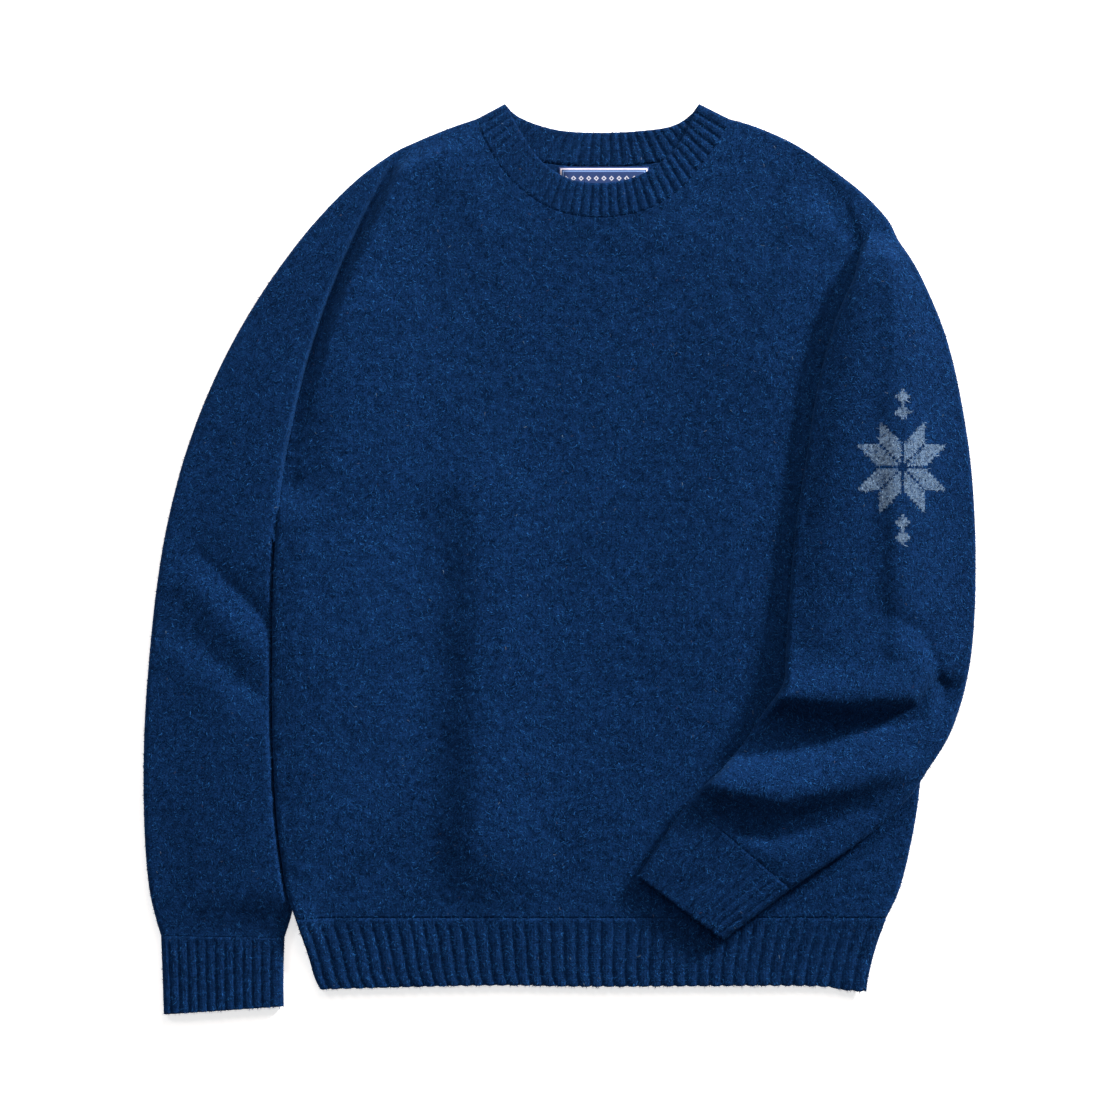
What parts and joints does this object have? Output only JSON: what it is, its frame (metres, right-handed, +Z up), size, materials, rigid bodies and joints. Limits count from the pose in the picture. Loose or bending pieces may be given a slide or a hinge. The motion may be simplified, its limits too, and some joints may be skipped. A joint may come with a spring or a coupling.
{
  "type": "shetland sweater",
  "caption": "Navy brushed wool crew-neck sweater laid flat, with ribbed neck, cuffs and hem and one sleeve folded in over the front.",
  "frame": {"origin": "centre of the garment's box, on the surface that it lies on", "axes": "+Z up from the surface, +Y toward the neck, +X to the right as seen from above"},
  "size_m": [0.6584, 0.7204, 0.0278],
  "materials": {
    "wool": "brushed, felted navy wool",
    "rib": "ribbed navy wool, little nap",
    "label": "woven satin label"
  },
  "bodies": {
    "root": {"body_front": "wool", "body_back": "wool", "sleeve_right": "wool", "sleeve_left": "wool", "cuff_right": "rib", "cuff_left": "rib", "hem_front": "rib", "hem_back": "rib", "neckband_front": "rib", "neckband_back": "rib", "label": "label"}
  },
  "joints": []
}
